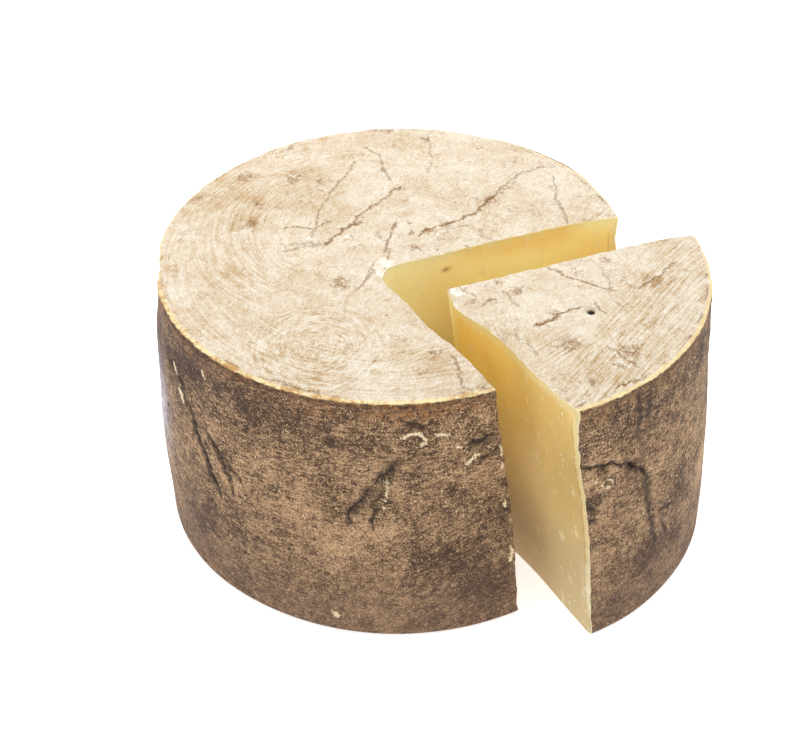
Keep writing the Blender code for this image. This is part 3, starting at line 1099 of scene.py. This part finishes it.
def rind_material(name, place_of_piece):
    """Straw top painted pale for the light from above, waxy edge and brown side, with cracks, stains and
    flakes.
    """
    material, shader, place = new_material(name, place_of_piece)
    rind = shared_by_rind(place)
    x, y, speck, grain = rind.x, rind.y, rind.speck, rind.grain
    bristles = bristle_marks(place, x, y)
    brushed = side_brushing(rind)
    thick = (x * 0.6 - y * 0.9 + 20.0).fade(-60.0, 60.0)
    edge = rind.ragged.fade(-1.7, -0.7) * rind.ragged.fade(1.7, 0.3)
    amber = (rind.mottle * 1.4 + grain * 1.6 + rind.crumbs * 0.5 - 1.55).fade(0.0, 0.45)
    amber = amber * (0.2 + thick * 0.8) * (1.0 - x.fade(56.0, 82.0) * 0.7)
    wax = blend(colour(232, 212, 158), colour(184, 134, 64), amber)
    surface = blend(brown_side(rind, brushed), painted_lit_top(rind, bristles), rind.ragged.fade(-0.6, 0.1))
    surface = blend(surface, wax, edge * (0.4 + thick * 0.55))
    connect(surface, shader, "Base Color")

    on_top = rind.ragged.fade(-1.5, 0.0)
    relief_top = bristles * 0.5 + (speck - 0.5) * 0.25 + (grain - 0.5) * 0.35 - rind.hairline * 1.2
    relief_side = (speck - 0.5) * 0.6 + (grain - 0.5) * 1.0 + (brushed - 0.5) * 0.4
    relief_side = relief_side - rind.hairline * 2.0
    relief = relief_top * on_top + relief_side * (1.0 - on_top)
    connect(bump(relief * (1.0 - edge * 0.7), 0.0006), shader, "Normal")
    connect(0.82 - edge * 0.35 + (speck - 0.5) * 0.1, shader, "Roughness")
    shader.inputs["Specular IOR Level"].default_value = 0.35
    return material


# %% [markdown]
# ## The paste
# The fresh cut is yellow and faintly waxy. On the wedge it is deeper and more orange near the top and
# the tip, which is painted warm shade, tinted by light bounced from the wheel's cut face; a painted
# highlight lies on the tip's facet, painted light lifts the middle and painted shade darkens the outer
# upper part. Towards the base the paste turns a paler, greyer yellow, darkened by painted shade. In the
# notch it stays brighter, as light falls in from both sides. White crystals and the smears that a blade
# leaves are scattered over both. Light goes a little way into cheese, so it has subsurface scattering.

# %% What the paste shares


def shared_by_paste(place):
    """The noises and measures that both cut faces use."""
    paste = SimpleNamespace(place=place)
    paste.x, paste.y, paste.z = split(place)
    paste.under = stored(place, "under")
    paste.radius = (paste.x * paste.x + paste.y * paste.y) ** 0.5
    paste.broad = clouds(place, 34.0, detail=2.0, seed=3.0)
    paste.mottle = clouds(place, 9.0, detail=3.0, seed=6.0)
    paste.speck = clouds(place, 1.1, detail=2.0, roughness=0.6, seed=8.0)
    paste.smear = clouds(place, 3.0, stretch=(0.6, 0.6, 0.25), detail=3.0, roughness=0.6, seed=9.0)
    # painted shade: near 0 low down and further out, where the paste is painted darker and greyer, near 1
    # high up near the axis; broad noise varies it at random
    ripe = paste.z / height * 1.3 - paste.radius / rim * 0.35 + (paste.broad - 0.5) * 0.6
    paste.ripe = ripe.fade(0.05, 1.0)
    paste.tanned = (paste.mottle * 0.8 + paste.broad * 0.4 - 0.62).fade(0.0, 0.4)
    return paste


# %% Broad colours of the two pieces


def wedge_paste_colour(paste):
    """The wedge's paste: orange high up and near its tip as painted warm shade, straw in the middle lifted
    by painted light, grey-brown low down as painted shade.
    """
    radius, z, mottle = paste.radius, paste.z, paste.mottle
    # painted warm shade high up near the tip, tinted by light bounced from the wheel's cut face
    painted_warm_shade = (z / height).fade(0.45, 1.0) * radius.fade(75.0, 25.0)
    # painted highlight on the small facet at the tip, which is in shade
    facet_highlight = near(paste.x, paste.y, (-1.5, -21.0), 5.5) * z.fade(40.0, 80.0)
    wavy = paste.under + (mottle - 0.5) * 3.0 + (paste.smear - 0.5) * 1.0
    pale_rim = wavy.fade(7.0, 1.5) * z.fade(height - 34.0, height - 6.0)
    return coats(
        # painted shade: darker and greyer towards the base
        blend(colour(196, 172, 120), colour(246, 216, 128), paste.ripe),
        ((236, 178, 84), painted_warm_shade * (0.35 + (mottle - 0.5) * 0.9)),
        ((255, 250, 190), facet_highlight),
        ((212, 166, 88), paste.tanned * 0.4),
        # painted shade darkening the outer upper part, which the room lights more than the inner part
        ((198, 162, 96), radius.fade(48.0, 74.0) * z.fade(40.0, 72.0) * 0.72),
        # painted light lifting the middle, where the wheel shades it
        ((252, 226, 162), radius.fade(84.0, 56.0) * z.bell(64.0, 26.0) * 0.75),
        ((186, 158, 100), radius.fade(76.0, 92.0) * z.bell(84.0, 18.0) * 0.6),
        ((176, 136, 78), radius.fade(82.0, 54.0) * z.fade(42.0, 20.0) * 0.4),
        ((248, 236, 184), pale_rim * (mottle + 0.2).least(1.0) * 0.5),
        ((238, 224, 184), (paste.smear + mottle * 0.5).fade(0.84, 1.0) * 0.5),
    )


def wheel_paste_colour(paste):
    """The notch's paste: bright yellow, deeper under the top, cream at the far end and in the corner."""
    radius, z, mottle = paste.radius, paste.z, paste.mottle
    upper = (z + (mottle - 0.5) * 5.0 + (paste.broad - 0.5) * 6.0).fade(height - 14.0, height - 3.0)
    in_middle = radius.fade(92.0, 72.0) * radius.fade(18.0, 34.0)
    # the eye's brown is painted shade inside its small dimple in the cut face
    eye = near(paste.x, paste.y, (21.2, 6.4), 1.9) * z.bell(height - 9.0, 1.1)
    return coats(
        # painted shade: darker and greyer towards the base
        blend(colour(196, 172, 120), colour(255, 243, 178), paste.ripe),
        ((212, 166, 88), paste.tanned * 0.12),
        ((236, 202, 98), radius.fade(56.0, 92.0) * 0.5),
        ((228, 180, 62), upper * in_middle * 0.5),
        ((255, 240, 178), upper * radius.fade(72.0, 92.0) * 0.85),
        ((238, 208, 158), radius.fade(36.0, 16.0) * 0.3),
        ((160, 114, 56), eye * 0.8),
        ((238, 224, 184), (paste.smear + mottle * 0.5).fade(0.84, 1.0) * 0.5),
    )


# %% The paste's material


def paste_material(name, place_of_piece, on_wedge):
    """Yellow cheese as cut, with its crystals, its crumbs, the change of colour under the rind, and a
    painted shade line along a shallow knife step.
    """
    material, shader, place = new_material(name, place_of_piece)
    paste = shared_by_paste(place)
    x, y, z, under, speck, smear = paste.x, paste.y, paste.z, paste.under, paste.speck, paste.smear
    crystals = clouds(place, 1.7, detail=0.0, seed=13.0).fade(0.77, 0.83)
    if on_wedge:
        wiped = x.node("ShaderNodeCombineXYZ", {}, {0: (x - z) * 0.09, 1: (x + z) * 0.42, 2: y * 0.1})
        wipes = clouds(wiped, 1.0, detail=2.0, roughness=0.6, seed=19.0).fade(0.66, 0.76)
        wipes = wipes * (speck + 0.2).least(0.6) * z.fade(40.0, 90.0)
        body = blend(wedge_paste_colour(paste), colour(250, 234, 180), wipes)
        smear_relief = 0.8
    else:
        crystals = crystals * 0.4
        body = wheel_paste_colour(paste)
        smear_relief = 0.3
    wavy = under + (paste.mottle - 0.5) * 3.0 + (smear - 0.5) * 1.0
    away_from_ends = z.fade(height - 4.0, height - 16.0) * z.fade(8.0, 24.0)
    # painted shade along a shallow knife step about 3.7 mm in from the rind; the paler band outside it is
    # the rind zone's own colour
    step_shade_line = wavy.bell(3.7, 0.5) * away_from_ends * (paste.broad * 1.6 - 0.3).least(1.0)
    crumbly = under.fade(9.0, 1.0) * z.bell(28.0, 16.0) * (smear + speck - 0.92).fade(0.0, 0.2)
    crust = under.bell(0.0, 0.6)
    body = coats(
        body,
        ((246, 236, 210), crystals * 0.8),
        ((250, 244, 228), crumbly * 0.8),
        ((232, 212, 156), wavy.fade(3.6, 2.4) * away_from_ends * 0.6),
        ((170, 124, 64), step_shade_line * 0.8),
        ((240, 226, 192), (crust * (speck * 1.6 - 0.1)).least(0.9)),
    )
    connect(body, shader, "Base Color")
    relief = (speck - 0.5) * 0.25 + (smear - 0.5) * smear_relief + (paste.mottle - 0.5) * 0.6
    connect(bump(relief + crystals * 0.4, 0.0005), shader, "Normal")
    connect(0.5 + (smear - 0.5) * 0.2 + crust * 0.25, shader, "Roughness")
    shader.inputs["Subsurface Weight"].default_value = 0.35
    shader.inputs["Subsurface Radius"].default_value = (1.0, 0.62, 0.25)
    shader.inputs["Subsurface Scale"].default_value = 0.004
    shader.inputs["Specular IOR Level"].default_value = 0.4
    return material


# %% Putting the finishes on
for node, place in final_places.items():
    finishes = (
        rind_material(f"{node}_rind", place),
        paste_material(f"{node}_paste", place, on_wedge=node == "wedge"),
    )
    for piece in [item for item, its_node, _ in pieces if its_node == node]:
        for index, material in enumerate(finishes):
            piece.data.materials[index] = material
for stand_in in stand_ins:
    bpy.data.materials.remove(stand_in)
print("materials:", sorted(item.name for item in bpy.data.materials))

# %% [markdown]
# ## Floor, light and camera
# The cheese stands on a white table that glows a little, as an acrylic table lit from below does, so
# its shadow is faint. A white room lights it from everywhere, and one large soft lamp from above and
# behind gives the top its brightness.

# %% Floor
bpy.ops.mesh.primitive_plane_add(size=6.0)
floor = bpy.context.active_object
floor.name = "floor"
glow = bpy.data.materials.new("white_acrylic")
glow.use_nodes = True
glow_shader = glow.node_tree.nodes["Principled BSDF"]
glow_shader.inputs["Base Color"].default_value = colour(244, 244, 246)
glow_shader.inputs["Roughness"].default_value = 0.6
glow_shader.inputs["Emission Color"].default_value = (1.0, 1.0, 1.0, 1.0)
glow_shader.inputs["Emission Strength"].default_value = 0.62
floor.data.materials.append(glow)

# %% Room light and lamp
room = bpy.data.worlds.new("white_room")
room.use_nodes = True
room.node_tree.nodes["Background"].inputs["Color"].default_value = (1.0, 1.0, 1.0, 1.0)
room.node_tree.nodes["Background"].inputs["Strength"].default_value = 1.0
bpy.context.scene.world = room


def soft_lamp(name, place, aim, size, watts):
    """A square softbox turned towards a point."""
    lamp = bpy.data.lights.new(name, "AREA")
    lamp.shape = "SQUARE"
    lamp.size = size
    lamp.energy = watts
    stand = bpy.data.objects.new(name, lamp)
    stand.location = place
    stand.rotation_euler = (Vector(aim) - Vector(place)).to_track_quat("-Z", "Y").to_euler()
    bpy.context.collection.objects.link(stand)


soft_lamp("overhead_softbox", (-0.45, 0.55, 1.15), (0.0, 0.0, 0.1), 0.7, 8.0)

# %% Camera
target = Vector((axis_x / MM, 0.0, 0.0632))
rise = math.radians(38.11)
away = Vector((0.4278 * math.cos(rise), -0.9039 * math.cos(rise), math.sin(rise)))
forward = -away.normalized()
right = forward.cross(Vector((0, 0, 1))).normalized()
up = right.cross(forward)
yaw, pitch, roll = (math.radians(angle) for angle in (0.09, -0.09, -1.457))
facing = forward * math.cos(yaw) + right * math.sin(yaw)
right = right * math.cos(yaw) - forward * math.sin(yaw)
forward = facing * math.cos(pitch) + up * math.sin(pitch)
up = up * math.cos(pitch) - facing * math.sin(pitch)
right, up = right * math.cos(roll) + up * math.sin(roll), up * math.cos(roll) - right * math.sin(roll)
lens = bpy.data.cameras.new("camera")
lens.lens = 103.5
lens.sensor_width = 36.0
lens.sensor_fit = "HORIZONTAL"
camera = bpy.data.objects.new("camera", lens)
axes = Matrix((right, up, -forward)).transposed().to_4x4()
camera.matrix_world = Matrix.Translation(target + away * 1.002) @ axes
bpy.context.collection.objects.link(camera)
bpy.context.scene.camera = camera
bpy.context.scene.view_settings.view_transform = "Standard"

# %% [markdown]
# ## The pieces on the root
# Each piece rides on the root and stands for its node of the imported model, whose own part is hidden.

# %% What each piece is
for piece, node, slot in pieces:
    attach(piece, "root")
    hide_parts(node)
